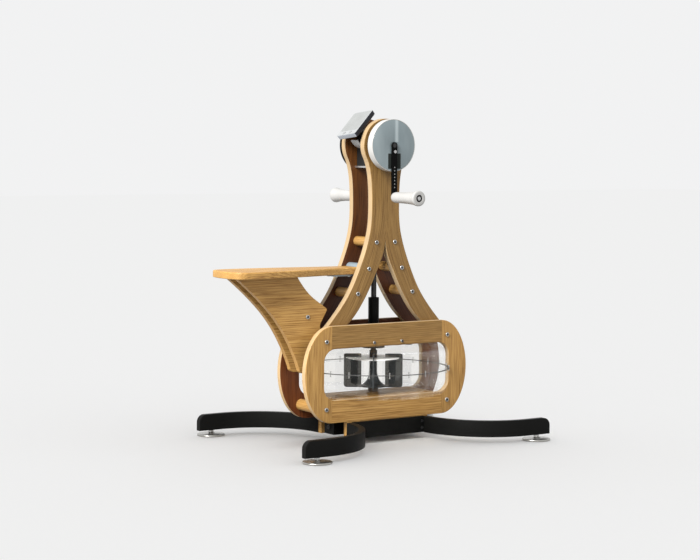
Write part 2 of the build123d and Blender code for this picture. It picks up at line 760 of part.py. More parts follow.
# The crown turns with the crankshaft; the pinion turns the drive shaft at twice its speed.
crown = bevel_gear(CROWN_TEETH, PINION_TEETH, AXLE_R, 9, 0)
with BuildPart() as bevel_crown:
    add(crown.part.rotate(Axis.X, -90).moved(Location((0, 0, AXLE_Z))))
save(bevel_crown, "bevel_crown")

pinion = bevel_gear(PINION_TEETH, CROWN_TEETH, journal_r, 7, 180 / PINION_TEETH)
with BuildPart() as bevel_pinion:
    add(pinion.part.rotate(Axis.X, 180).moved(Location((0, 0, AXLE_Z))))
save(bevel_pinion, "bevel_pinion")

# --------------------------------------------------------------------- cranks
with BuildPart() as crank_axle:
    with BuildSketch(across(LEG_OUTER + 1)):
        with Locations((0, AXLE_Z)):
            Circle(AXLE_R)
    extrude(amount=2 * (LEG_OUTER + 1))
    for side, arm_inner in ARM_INNER.items():
        with BuildSketch(board_plane(side, LEG_OUTER, arm_inner + CRANK_THICK - 1 - LEG_OUTER)):
            with Locations((0, AXLE_Z)):
                Circle(AXLE_END_R)
        extrude(amount=arm_inner + CRANK_THICK - 1 - LEG_OUTER)
save(crank_axle, "crank_axle")

with BuildPart() as axle_bearings:
    for side in SIDES:
        with BuildSketch(board_plane(side, LEG_INNER, LEG_THICK - 0.5)):
            with Locations((0, AXLE_Z)):
                Circle(BEARING_R)
                Circle(AXLE_R + RUN_GAP, mode=Mode.SUBTRACT)
        extrude(amount=LEG_THICK - 0.5)
save(axle_bearings, "axle_bearings")

# The front drum is a dish with a wide white rim on a hub; its glossy face disc is let in.
FACE_DISC_R = DRUM_R - 2.2
HUB_R = 20.0
with BuildPart() as crank_drum:
    with BuildSketch(board_plane("front", LEG_OUTER + 1.5, DRUM_OUTER - 3.5 - LEG_OUTER)):
        with Locations((0, AXLE_Z)):
            Circle(HUB_R)
    extrude(amount=DRUM_OUTER - 3.5 - LEG_OUTER)
    with BuildSketch(board_plane("front", DRUM_INNER, DRUM_OUTER - DRUM_INNER)):
        with Locations((0, AXLE_Z)):
            Circle(DRUM_R)
    extrude(amount=DRUM_OUTER - DRUM_INNER)
    with BuildSketch(board_plane("front", DRUM_INNER + 4, DRUM_OUTER - DRUM_INNER - 4)):
        with Locations((0, AXLE_Z)):
            Circle(FACE_DISC_R)
            Circle(HUB_R, mode=Mode.SUBTRACT)
    extrude(amount=DRUM_OUTER - DRUM_INNER - 4, mode=Mode.SUBTRACT)
    with BuildSketch(board_plane("front", DRUM_OUTER - 2, 2)):
        with Locations((0, AXLE_Z)):
            Circle(FACE_DISC_R)
    extrude(amount=2, mode=Mode.SUBTRACT)
    rims = [
        e for e in crank_drum.edges().filter_by(GeomType.CIRCLE)
        if abs(e.radius - DRUM_R) < 0.1
    ]
    fillet(rims, 1.4)
    with BuildSketch(board_plane("front", LEG_OUTER, DRUM_OUTER + 1 - LEG_OUTER)):
        with Locations((0, AXLE_Z)):
            Circle(AXLE_END_R)
    extrude(amount=DRUM_OUTER + 1 - LEG_OUTER, mode=Mode.SUBTRACT)
save(crank_drum, "crank_drum")

with BuildPart() as disc_face:
    with BuildSketch(board_plane("front", DRUM_OUTER - 2, 2)):
        with Locations((0, AXLE_Z)):
            Circle(FACE_DISC_R)
            Circle(AXLE_END_R, mode=Mode.SUBTRACT)
    extrude(amount=2)
save(disc_face, "disc_face")

# The back of the crankshaft has a thin balance disc on a hub in place of the drum.
BACK_DISC_R, BACK_DISC_INNER, BACK_DISC_THICK = 92.0, 75.0, 8.5
with BuildPart() as back_disc:
    with BuildSketch(board_plane("back", BACK_DISC_INNER, BACK_DISC_THICK)):
        with Locations((0, AXLE_Z)):
            Circle(BACK_DISC_R)
    extrude(amount=BACK_DISC_THICK)
    fillet(back_disc.edges(), 1)
    hub_start = LEG_OUTER + 1.5
    with BuildSketch(board_plane("back", hub_start, ARM_INNER["back"] - 1 - hub_start)):
        with Locations((0, AXLE_Z)):
            Circle(HUB_R)
    extrude(amount=ARM_INNER["back"] - 1 - hub_start)
    with BuildSketch(board_plane("back", LEG_OUTER, ARM_INNER["back"] - LEG_OUTER)):
        with Locations((0, AXLE_Z)):
            Circle(AXLE_END_R)
    extrude(amount=ARM_INNER["back"] - LEG_OUTER, mode=Mode.SUBTRACT)
save(back_disc, "back_disc")

CLAMP_Z = AXLE_Z - 22
for side, arm_inner in ARM_INNER.items():
    with BuildPart() as crank_arm:
        with BuildSketch(board_plane(side, arm_inner, CRANK_THICK)):
            with Locations((0, (AXLE_Z + GRIP_Z) / 2)):
                SlotCenterToCenter(CRANK_LENGTH, CRANK_WIDTH, rotation=90)
            with Locations((0, AXLE_Z)):
                Circle(AXLE_END_R, mode=Mode.SUBTRACT)
            with Locations((0, GRIP_Z)):
                Circle(PIN_R, mode=Mode.SUBTRACT)
            with Locations((0, CLAMP_Z), *[(0, AXLE_Z - 76 - 11.5 * i) for i in range(7)]):
                Circle(2.8, mode=Mode.SUBTRACT)
        extrude(amount=CRANK_THICK)
        outer_face = crank_arm.faces().filter_by(Axis.Y).sort_by(Axis.Y)[0 if side == "front" else -1]
        fillet(outer_face.outer_wire().edges(), 1)
    save(crank_arm, f"{side}_crank_arm")

with BuildPart() as crank_bolts:
    for side, arm_inner in ARM_INNER.items():
        with BuildSketch(board_plane(side, arm_inner, CRANK_THICK)):
            with Locations((0, CLAMP_Z)):
                Circle(2.8)
        extrude(amount=CRANK_THICK)
        with BuildSketch(board_plane(side, arm_inner + CRANK_THICK, 3)):
            with Locations((0, CLAMP_Z)):
                Circle(5.5)
        extrude(amount=3)
save(crank_bolts, "crank_bolts")

# Grip pins are fast in the arms; a washer and a cap screw keep each grip on its pin.
CAP_R = 12.3
with BuildPart() as grip_pins:
    for side, arm_inner in ARM_INNER.items():
        grip_end = arm_inner + CRANK_THICK + GRIP_GAP + GRIP_LENGTH
        cap_start = grip_end - 4
        for start, end_y, r in (
            (arm_inner, cap_start, PIN_R), (cap_start, cap_start + 2.5, CAP_R),
            (cap_start + 2.5, grip_end - 0.5, PIN_R),
        ):
            with BuildSketch(board_plane(side, start, end_y - start)):
                with Locations((0, GRIP_Z)):
                    Circle(r)
            extrude(amount=end_y - start)
save(grip_pins, "grip_pins")


def grip(side):
    """Turned handle: slightly waisted, flared to a knob, bored for its pin and its washer."""
    s = SIDES[side]
    near = ARM_INNER[side] + CRANK_THICK + GRIP_GAP
    far = near + GRIP_LENGTH
    bore, recess = PIN_R + RUN_GAP, far - 4.3
    with BuildPart() as handle:
        with BuildSketch(Plane.XY.offset(GRIP_Z)):
            with BuildLine():
                Polyline(
                    (17, s * near), (bore, s * near), (bore, s * recess), (CAP_R + 0.4, s * recess),
                    (CAP_R + 0.4, s * far), (22, s * far),
                )
                ThreePointArc((22, s * far), (25.6, s * (far - 2.4)), (26.8, s * (far - 7)))
                Spline(
                    (26.8, s * (far - 7)), (23.5, s * (far - 24)), (20.4, s * (far - 56)),
                    (18.8, s * (near + 42)), (19.2, s * (near + 12)), (17, s * near),
                )
            make_face()
        revolve(axis=Axis((0, 0, GRIP_Z), (0, 1, 0)))
    return handle


for side in SIDES:
    save(grip(side), f"{side}_grip")

# -------------------------------------------------------------------- monitor
normal = Vector(-sin(FACE_SLOPE), 0, cos(FACE_SLOPE))
slope = Vector(cos(FACE_SLOPE), 0, sin(FACE_SLOPE))
face_middle = Vector(FACE_X, 0, FACE_Z)
width_way = Vector(0, -1, 0) * cos(FACE_TURN) + slope * sin(FACE_TURN)
face_plane = Plane(origin=face_middle, x_dir=width_way, z_dir=normal)
pivot = face_middle - normal * (CASE_THICK + PIVOT_BEHIND)
knuckle_half = 11.0
knuckle_r = 7.0

with BuildPart() as case_body:
    with BuildSketch(face_plane.offset(-CASE_THICK)):
        RectangleRounded(CASE_WIDTH, CASE_HEIGHT, 9)
    extrude(amount=CASE_THICK)
    fillet(case_body.edges().filter_by(lambda e: face_plane.to_local_coords(e.center()).Z > -0.1), 2.5)
    fillet(
        case_body.edges().filter_by(
            lambda e: face_plane.to_local_coords(e.center()).Z < -CASE_THICK + 0.1
        ), 4,
    )
    with BuildSketch(face_plane.offset(-1.5)):
        with Locations((0, 9)):
            RectangleRounded(CASE_WIDTH - 10, CASE_HEIGHT - 28, 5)
    extrude(amount=2, mode=Mode.SUBTRACT)
    with BuildSketch(face_plane.offset(-4)):
        with Locations((-16, -50), (16, -50)):
            Circle(BUTTON_R + 0.3)
    extrude(amount=6, mode=Mode.SUBTRACT)

case_foot = pivot + normal * (PIVOT_BEHIND + 5)
with BuildPart() as monitor_case:
    add(case_body.part)
    with BuildSketch(across(knuckle_half)):
        with Locations((pivot.X, pivot.Z)):
            Circle(knuckle_r)
        with BuildLine():
            half = slope * 6
            Polyline(
                *[
                    (p.X, p.Z) for p in (
                        pivot + half, case_foot + half, case_foot - half, pivot - half, pivot + half
                    )
                ]
            )
        make_face()
    extrude(amount=2 * knuckle_half)
    with BuildSketch(across(knuckle_half)):
        with Locations((pivot.X, pivot.Z)):
            Circle(3 + RUN_GAP)
    extrude(amount=2 * knuckle_half, mode=Mode.SUBTRACT)
save(monitor_case, "monitor_case")

with BuildPart() as monitor_screen:
    with BuildSketch(face_plane.offset(-1.5)):
        with Locations((0, 9)):
            RectangleRounded(CASE_WIDTH - 10, CASE_HEIGHT - 28, 5)
    extrude(amount=1.8)
save(monitor_screen, "monitor_screen")

for number, x in ((1, -16), (2, 16)):
    with BuildPart() as button:
        with BuildSketch(face_plane.offset(-2.7)):
            with Locations((x, -50)):
                Circle(BUTTON_R)
        extrude(amount=4.2)
        top_rim = button.edges().filter_by(lambda e: face_plane.to_local_coords(e.center()).Z > 1)
        fillet(top_rim, 1)
    save(button, f"monitor_button_{number}")

# Bent steel bracket on the gearbox top, with two ears and the tilt pin between them.
with BuildPart() as monitor_bracket:
    with Locations(((pivot.X + 20) / 2 + 12, 0, BOX_HIGH + 1.5)):
        Box(20 - pivot.X - 24, 56, 3)
    for s in (-1, 1):
        with BuildSketch(Plane.XZ.offset(knuckle_half + 0.5 if s < 0 else -(knuckle_half + 8.5))):
            with Locations((pivot.X, pivot.Z)):
                Circle(knuckle_r)
            with BuildLine():
                Polyline(
                    (pivot.X - 2, pivot.Z + knuckle_r - 0.3), (pivot.X - 3, pivot.Z - knuckle_r + 0.8),
                    (pivot.X + 14, BOX_HIGH), (-20, BOX_HIGH), (-30, BOX_HIGH + 5),
                    (pivot.X - 2, pivot.Z + knuckle_r - 0.3),
                )
            make_face()
        extrude(amount=8)
    with BuildSketch(across(knuckle_half + 1)):
        with Locations((pivot.X, pivot.Z)):
            Circle(3)
    extrude(amount=2 * (knuckle_half + 1))
save(monitor_bracket, "monitor_bracket")

# Light sheet-metal shroud on the gearbox wall: it curves out under the monitor.
SHROUD_HALF = 22.0
with BuildPart() as monitor_shroud:
    with BuildSketch(across(SHROUD_HALF)):
        with BuildLine():
            ThreePointArc((-BOX_HALF_X, 1023), (-66, 1030), (-86, 1051))
            Line((-86, 1051), (-84, 1053))
            ThreePointArc((-84, 1053), (-65, 1033.5), (-BOX_HALF_X - 3, 1026.5))
            Polyline(
                (-BOX_HALF_X - 3, 1026.5), (-BOX_HALF_X - 3, 1048), (-BOX_HALF_X, 1048),
                (-BOX_HALF_X, 1023),
            )
        make_face()
    extrude(amount=2 * SHROUD_HALF)
save(monitor_shroud, "monitor_shroud")
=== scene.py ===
"""Upright crank rower: oak side frames round a clear water tank, on black bent-wood legs.

The sections follow the order in which the machine is put together. Lengths are metres,
X runs along the machine with the seat at -X, and the front frame is at -Y.
"""

from math import cos, pi, radians, sin

import bmesh
import bpy
import numpy as np
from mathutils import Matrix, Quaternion, Vector


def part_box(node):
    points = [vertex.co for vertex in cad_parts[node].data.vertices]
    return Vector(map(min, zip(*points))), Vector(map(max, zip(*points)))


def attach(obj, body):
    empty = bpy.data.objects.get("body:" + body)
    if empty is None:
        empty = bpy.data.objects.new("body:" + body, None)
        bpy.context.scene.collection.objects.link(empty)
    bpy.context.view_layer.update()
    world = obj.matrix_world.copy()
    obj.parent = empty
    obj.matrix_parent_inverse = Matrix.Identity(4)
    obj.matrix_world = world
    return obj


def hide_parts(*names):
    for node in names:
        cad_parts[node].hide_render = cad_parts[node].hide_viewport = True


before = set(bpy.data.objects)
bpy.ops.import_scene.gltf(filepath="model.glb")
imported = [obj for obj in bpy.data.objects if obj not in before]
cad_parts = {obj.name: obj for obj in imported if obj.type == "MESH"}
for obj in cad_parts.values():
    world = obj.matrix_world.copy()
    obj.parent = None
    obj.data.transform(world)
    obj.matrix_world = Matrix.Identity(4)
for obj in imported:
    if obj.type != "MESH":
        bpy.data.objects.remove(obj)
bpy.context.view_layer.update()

SIDES = {"front": -1, "back": 1}
ENDS = {"left": -1, "right": 1}


# ------------------------------------------------------------------ oak frames
# Each side frame is two solid oak leg boards that meet in a round head, and an oval ring
# of two curved ends and two straight rails, glued end to end and rounded at every edge.
def new_material(name):
    """An empty node material: returns it, its nodes, a linking function and its shader."""
    material = bpy.data.materials.new(name)
    material.use_nodes = True
    nodes = material.node_tree.nodes
    shader = nodes["Principled BSDF"]
    return material, nodes, material.node_tree.links.new, shader


def set_inputs(node, **values):
    """Sets a node's inputs from words, with underscores for the spaces in their names."""
    for word, value in values.items():
        node.inputs[word.replace("_", " ")].default_value = value


def mapped(nodes, link, place=(0, 0, 0), turn=(0, 0, 0), scale=(1, 1, 1)):
    """Object coordinates moved, turned and stretched; returns the vector output."""
    where = nodes.new("ShaderNodeTexCoord")
    mapping = nodes.new("ShaderNodeMapping")
    set_inputs(mapping, Location=place, Rotation=turn, Scale=scale)
    link(where.outputs["Object"], mapping.inputs["Vector"])
    return mapping.outputs["Vector"]


def noise(nodes, link, vector, scale, detail=2.0, rough=0.5):
    """Value output of a noise pattern read at that vector."""
    node = nodes.new("ShaderNodeTexNoise")
    set_inputs(node, Scale=scale, Detail=detail, Roughness=rough)
    link(vector, node.inputs["Vector"])
    return node.outputs["Fac"]


def ramp(nodes, link, value, *stops):
    """Colour read from a value through (place, colour) stops."""
    node = nodes.new("ShaderNodeValToRGB")
    elements = node.color_ramp.elements
    while len(elements) < len(stops):
        elements.new(0.5)
    for element, (place, colour) in zip(elements, stops):
        element.position = place
        element.color = (*colour, 1)
    link(value, node.inputs["Fac"])
    return node.outputs["Color"]


def mix(nodes, link, blend, factor, one, two):
    """Colour mix of two outputs or plain colours; the factor is an output or a number."""
    node = nodes.new("ShaderNodeMix")
    node.data_type, node.blend_type = "RGBA", blend
    for socket, given in ((node.inputs[0], factor), (node.inputs[6], one), (node.inputs[7], two)):
        if hasattr(given, "links"):
            link(given, socket)
        else:
            socket.default_value = given
    return node.outputs[2]


def bumped(nodes, link, shader, height, strength, distance):
    """Bump from a height output into the shader's normal."""
    node = nodes.new("ShaderNodeBump")
    set_inputs(node, Strength=strength, Distance=distance)
    link(height, node.inputs["Height"])
    link(node.outputs["Normal"], shader.inputs["Normal"])


def math_node(nodes, link, operation, one, two=0.0):
    """One arithmetic step; each side is an output or a plain number."""
    node = nodes.new("ShaderNodeMath")
    node.operation = operation
    for socket, given in zip(node.inputs, (one, two)):
        if hasattr(given, "links"):
            link(given, socket)
        else:
            socket.default_value = given
    return node.outputs[0]


def splayed(nodes, link, lean):
    """Object coordinates in which a leg that curves outwards below its knee is straight.

    Sideways distance is reduced by `spread` times the square of the drop below the knee.
    """
    knee_z, spread = 0.85, 0.8
    where = nodes.new("ShaderNodeTexCoord")
    parts = nodes.new("ShaderNodeSeparateXYZ")
    link(where.outputs["Object"], parts.inputs[0])
    drop = math_node(nodes, link, "SUBTRACT", knee_z, parts.outputs["Z"])
    drop = math_node(nodes, link, "MAXIMUM", drop, 0.0)
    aside = math_node(nodes, link, "MULTIPLY", drop, drop)
    aside = math_node(nodes, link, "MULTIPLY", aside, lean * spread)
    joined = nodes.new("ShaderNodeCombineXYZ")
    link(math_node(nodes, link, "SUBTRACT", parts.outputs["X"], aside), joined.inputs["X"])
    link(parts.outputs["Y"], joined.inputs["Y"])
    link(parts.outputs["Z"], joined.inputs["Z"])
    return joined.outputs[0]


def facing(nodes, link, direction, least):
    """1 where a surface faces a direction, as told by its normal in object coordinates."""
    where = nodes.new("ShaderNodeTexCoord")
    dot = nodes.new("ShaderNodeVectorMath")
    dot.operation = "DOT_PRODUCT"
    dot.inputs[1].default_value = direction
    link(where.outputs["Normal"], dot.inputs[0])
    return math_node(nodes, link, "GREATER_THAN", dot.outputs["Value"], least)


def stretched(nodes, link, vector, scale):
    """The vector multiplied by a scale for each axis."""
    node = nodes.new("ShaderNodeVectorMath")
    node.operation = "MULTIPLY"
    node.inputs[1].default_value = scale
    link(vector, node.inputs[0])
    return node.outputs[0]


def painted_shade_and_highlight(nodes, link, wood, inner):
    """Painted shade on the faces that look to the machine's middle, painted highlight on the
    edges.

    Wood nearer to the middle plane than `inner` gets a red-brown painted shade, deeper lower down.
    """
    place = nodes.new("ShaderNodeSeparateXYZ")
    link(mapped(nodes, link), place.inputs[0])
    depth = math_node(nodes, link, "ABSOLUTE", place.outputs["Y"])
    inside = math_node(nodes, link, "LESS_THAN", depth, inner)
    # Painted shade: red-brown, deeper lower down.
    low_shade, high_shade = (0.34, 0.17, 0.135), (0.52, 0.33, 0.23)
    inner_shade = ramp(nodes, link, place.outputs["Z"], (0.55, low_shade), (0.95, high_shade))
    wood = mix(nodes, link, "MULTIPLY", inside, wood, inner_shade)
    # Faces that don't look along Y, the boards' edges, are half mixed with pale oak: a painted
    # highlight where light falls on the edges.
    sides = math_node(
        nodes, link, "ADD", facing(nodes, link, (0, 1, 0), 0.6),
        facing(nodes, link, (0, -1, 0), 0.6),
    )
    edge = math_node(nodes, link, "SUBTRACT", 1.0, sides)
    edge = math_node(nodes, link, "MULTIPLY", edge, 0.5)
    return mix(nodes, link, "MIX", edge, wood, (0.44, 0.34, 0.21, 1))


def oak(name, turn, heart, stave, tone=1.0, lean=0, inner=0.0):
    """Oiled oak. The grain runs along X once the board is turned.

    Growth rings are circles round a heart line that lies off the board, so a flat face cuts
    them into long flames. Pores are short dark dashes, and glued staves differ a little.
    `lean` is the side that a splayed leg leans to. `inner` sets where the painted shade on
    the inner faces begins, and also brings the painted highlight on the edges.
    """
    material, nodes, link, shader = new_material(name)
    pale = [tone * c for c in (0.440, 0.256, 0.080)]
    middle = [tone * c for c in (0.350, 0.189, 0.048)]
    deep = [tone * c for c in (0.180, 0.088, 0.022)]
    along = mapped(nodes, link, heart, turn)
    if lean:
        link(splayed(nodes, link, lean), along.node.inputs["Vector"])
    squeezed = stretched(nodes, link, along, (0.035, 1, 1))

    rings = nodes.new("ShaderNodeTexWave")
    rings.wave_type, rings.rings_direction = "RINGS", "X"
    set_inputs(rings, Scale=62.0, Distortion=2.6, Detail=3.0, Detail_Scale=1.6)
    link(squeezed, rings.inputs["Vector"])
    flame = ramp(nodes, link, rings.outputs["Fac"], (0.0, deep), (0.35, middle), (0.85, pale))
    patches = noise(nodes, link, squeezed, 60, 3)
    cloud = ramp(nodes, link, patches, (0.3, middle), (0.72, pale))
    wood = mix(nodes, link, "MIX", 0.62, flame, cloud)

    rows = nodes.new("ShaderNodeSeparateXYZ")
    link(along, rows.inputs[0])
    share = math_node(nodes, link, "DIVIDE", rows.outputs["Z"], stave)
    pick = nodes.new("ShaderNodeTexWhiteNoise")
    pick.noise_dimensions = "1D"
    link(math_node(nodes, link, "FLOOR", share), pick.inputs["W"])
    shade = ramp(nodes, link, pick.outputs["Value"], (0.0, (0.88,) * 3), (1.0, (1.06,) * 3))
    wood = mix(nodes, link, "MULTIPLY", 1.0, wood, shade)

    pores = noise(nodes, link, stretched(nodes, link, along, (10, 760, 760)), 1.0, 2, 0.6)
    dashes = ramp(nodes, link, pores, (0.38, (0.42, 0.32, 0.22)), (0.50, (1, 1, 1)))
    wood = mix(nodes, link, "MULTIPLY", 0.85, wood, dashes)
    # Painted shade on the inner faces and a painted highlight on the edges.
    if inner:
        wood = painted_shade_and_highlight(nodes, link, wood, inner)

    link(wood, shader.inputs["Base Color"])
    gloss = ramp(nodes, link, pores, (0.3, (0.62,) * 3), (0.6, (0.44,) * 3))
    link(gloss, shader.inputs["Roughness"])
    set_inputs(shader, Specular_IOR_Level=0.3)
    bumped(nodes, link, shader, pores, 0.25, 0.0004)
    return material


def dress(material, *names):
    """Gives CAD nodes a material in every slot."""
    for name in names:
        for one_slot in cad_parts[name].material_slots:
            one_slot.material = material


# Mapping turns the upright grain of the legs and ring ends level. A board's inner face lies
# just inside leg_back or ring_back, and the painted shade covers the wood inside these.
level, upright = (0, 0, 0), (0, radians(90), 0)
leg_back, ring_back = 0.0494, 0.0714
for side, s in SIDES.items():
    for end, e in ENDS.items():
        cut = (0.3 * s, 0.09 + 0.03 * s, 0.05 + 0.07 * e)
        leg_oak = oak(f"oak_leg_{side}_{end}", upright, cut, 0.075, 0.58, e, leg_back)
        dress(leg_oak, f"{side}_{end}_leg_board")
        cut = (0.2 * e, 0.12 + 0.02 * s, 0.33 * e)
        ring_oak = oak(f"oak_ring_{side}_{end}", upright, cut, 0.055, 1.04, inner=ring_back)
        dress(ring_oak, f"{side}_{end}_ring_end")
rail_oak = oak("oak_top_rails", level, (0.4, 0.02, -0.30), 0.06, 0.66, inner=ring_back)
dress(rail_oak, "ring_top_rails")
rail_oak = oak("oak_bottom_rails", level, (0.1, 0.03, -0.16), 0.06, 1.10, inner=ring_back)
dress(rail_oak, "ring_bottom_rails")

# Oak dowels, bushes, cheeks and the tank's bearers, all with their grain along Y.
cross_oak = oak("oak_cross_pieces", (0, 0, radians(90)), (0.1, 0.03, 0.4), 0.06, 0.92)
dress(cross_oak, "frame_dowels", "seat_spacers", "base_cheeks", "tank_cradle")


# -------------------------------------------------------------------- fastenings
# Zinc-plated tie rods with domed socket heads clamp the boards, and small screws hold the
# base and the tank flange.
def brushed_metal(name, colour, roughness, metallic=1.0, streak=(60, 60, 60)):
    """Metal with fine streaks that vary its colour and gloss a little."""
    material, nodes, link, shader = new_material(name)
    lines = noise(nodes, link, mapped(nodes, link, scale=streak), 6.0, 4, 0.6)
    dark = [0.8 * c for c in colour]
    link(ramp(nodes, link, lines, (0.3, dark), (0.7, colour)), shader.inputs["Base Color"])
    soft = ramp(
        nodes, link, lines, (0.3, (roughness * 1.25,) * 3), (0.7, (roughness * 0.85,) * 3)
    )
    link(soft, shader.inputs["Roughness"])
    set_inputs(shader, Metallic=metallic)
    bumped(nodes, link, shader, lines, 0.2, 0.00005)
    return material


zinc = brushed_metal("plated_steel", (0.56, 0.56, 0.55), 0.3)
dress(zinc, "frame_bolts", "seat_bolts", "crank_bolts", "tank_screws", "axle_bearings")
dress(zinc, "bevel_crown", "bevel_pinion", "grip_pins")
dark_metal = brushed_metal("blackened_steel", (0.035, 0.035, 0.036), 0.34, 0.6)
dress(dark_metal, "base_screws", "crank_axle")


def skin(name, grids, material, body, stands_for=(), wrap_rows=False):
    """A closed mesh through one or more grids of points, columns wrapped, doubles merged.

    Point (i, j) joins its neighbours (i+1, j) and (i, j+1). A grid's volume is the sum of
    the tetrahedra from the origin, and if it comes out negative its faces are turned.
    Edges under 35 degrees are shaded smooth.
    """
    grids = np.asarray(grids, float)
    if grids.ndim == 3:
        grids = grids[None]
    rows, columns = grids.shape[1:3]
    strips = rows if wrap_rows else rows - 1
    i, j = np.meshgrid(np.arange(strips), np.arange(columns), indexing="ij")
    i_next, j_next = (i + 1) % rows, (j + 1) % columns
    here, beyond = i * columns, i_next * columns
    quads = np.stack([here + j, beyond + j, beyond + j_next, here + j_next], -1).reshape(-1, 4)
    faces = []
    for number, grid in enumerate(grids.reshape(len(grids), -1, 3)):
        a, b, c, d = (grid[quads[:, k]] for k in range(4))
        volume = (a * np.cross(b, c)).sum() + (a * np.cross(c, d)).sum()
        outward = quads if volume >= 0 else quads[:, ::-1]
        faces.append(outward + number * rows * columns)
    mesh = bpy.data.meshes.new(name)
    mesh.from_pydata(grids.reshape(-1, 3).tolist(), [], np.concatenate(faces).tolist())
    work = bmesh.new()
    work.from_mesh(mesh)
    bmesh.ops.remove_doubles(work, verts=work.verts, dist=1e-6)
    work.to_mesh(mesh)
    work.free()
    mesh.shade_smooth()
    mesh.set_sharp_from_angle(angle=radians(35))
    mesh.materials.append(material)
    piece = bpy.data.objects.new(name, mesh)
    bpy.context.scene.collection.objects.link(piece)
    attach(piece, body)
    if stands_for:
        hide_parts(*stands_for)
    return piece


def softened(corners, reach, steps=5, closed=False):
    """Corner points with each corner bridged by a parabola that starts `reach` before it.

    `reach` is one number or one for each corner, and 0 leaves a corner sharp. It is cut to
    under half of the shorter side that meets there.
    """
    corners = np.asarray(corners, float)
    count = len(corners)
    reaches = np.broadcast_to(reach, count)
    t = np.linspace(0, 1, steps + 1)[:, None]
    made = []
    for k, corner in enumerate(corners):
        if reaches[k] == 0 or (not closed and k in (0, count - 1)):
            made.append(corner[None])
            continue
        before, after = corners[k - 1] - corner, corners[(k + 1) % count] - corner
        room = min(reaches[k], 0.49 * np.linalg.norm(before), 0.49 * np.linalg.norm(after))
        start = corner + before / np.linalg.norm(before) * room
        stop = corner + after / np.linalg.norm(after) * room
        made.append((1 - t) ** 2 * start + 2 * t * (1 - t) * corner + t**2 * stop)
    return np.concatenate(made)


def spun(profile, centre=(0, 0), axis="Z", steps=96):
    """Grid of points: a profile of (radius, distance along the axis) carried round a circle.

    Around Z the centre is (x, y). Around Y it is (x, z) and the distance is y.
    """
    profile = np.asarray(profile, float)
    around = np.arange(steps) * 2 * pi / steps
    r, along = profile[:, :1], profile[:, 1:] * np.ones(steps)
    one, two = centre[0] + r * np.cos(around), centre[1] + r * np.sin(around)
    return np.stack([one, two, along] if axis == "Z" else [one, along, two], -1)


def turned(name, profile, material, body, stands_for=(), centre=(0, 0), axis="Z",
           steps=96, wrap=False):
    """A lathe form as one piece."""
    grid = spun(profile, centre, axis, steps)
    return skin(name, grid, material, body, stands_for, wrap)


# Dark cups in the bolt heads are painted shade: they stand for the shadow in the sockets.
# They sit at (x, z) on faces this far from the middle plane.
leg_face, ring_face, wing_face = 0.071, 0.091, 0.0395
bolt_places = {
    leg_face: [(0.0387, 0.6976), (0.0696, 0.6063), (0.1158, 0.5205)],
    ring_face: [(0.2570, 0.3624), (0.2570, 0.1284), (0.0588, 0.3497)],
}
bolt_spots = [
    (face, e * x, z) for face, places in bolt_places.items() for x, z in places for e in (-1, 1)
]
bolt_spots.append((wing_face, -0.3015, 0.4462))
socket_shade_profile = [(0, 0.0018), (0.0023, 0.0018), (0.0023, 0.0035), (0.0047, 0.0035), (0.0047, 0.0039),
          (0.0034, 0.0040), (0.0022, 0.0030), (0, 0.0030)]
socket_shade_cups = [
    spun([(r, s * (face + out)) for r, out in socket_shade_profile], (x, z), "Y", 24)
    for face, x, z in bolt_spots for s in SIDES.values()
]
skin("bolt_socket_shade", socket_shade_cups, dark_metal, "frame")


# -------------------------------------------------------------------------- seat
# The oak seat narrows towards the legs. Two oak wings stand under it, and a blue-grey
# steel bracket between the left legs carries its inner end.
dress(oak("oak_seat", (radians(90), 0, 0), (0.2, 0.62, 0.05), 0.048, 1.05), "seat_board")
for side, s in SIDES.items():
    cut = (0.15 * s, 0.16 + 0.05 * s, -0.50)
    dress(oak(f"oak_wing_{side}", level, cut, 0.07, 1.14), f"{side}_seat_wing")
dress(brushed_metal("blue_grey_steel", (0.24, 0.29, 0.32), 0.42, 0.35), "seat_bracket")


# -------------------------------------------------------------------------- base
# Four arms of bent laminated wood, lacquered black, curve out to the feet from planks
# screwed under the rings. A lacquered beam joins the two frames along the floor.
def lacquer(name):
    """Black lacquer over wood: a faint raised grain, slightly uneven in its gloss."""
    material, nodes, link, shader = new_material(name)
    colour, roughness = (0.0030, 0.0030, 0.0027), 0.42
    fine = noise(nodes, link, mapped(nodes, link, scale=(30, 30, 160)), 9.0, 3)
    worn = [2.2 * c for c in colour]
    link(ramp(nodes, link, fine, (0.3, colour), (0.8, worn)), shader.inputs["Base Color"])
    uneven = ramp(nodes, link, fine, (0.3, (roughness,) * 3), (0.7, (roughness + 0.14,) * 3))
    link(uneven, shader.inputs["Roughness"])
    set_inputs(shader, Specular_IOR_Level=0.07)
    bumped(nodes, link, shader, fine, 0.15, 0.0002)
    return material


black_lacquer = lacquer("black_lacquer")
dress(black_lacquer, "base_planks", "base_beam")


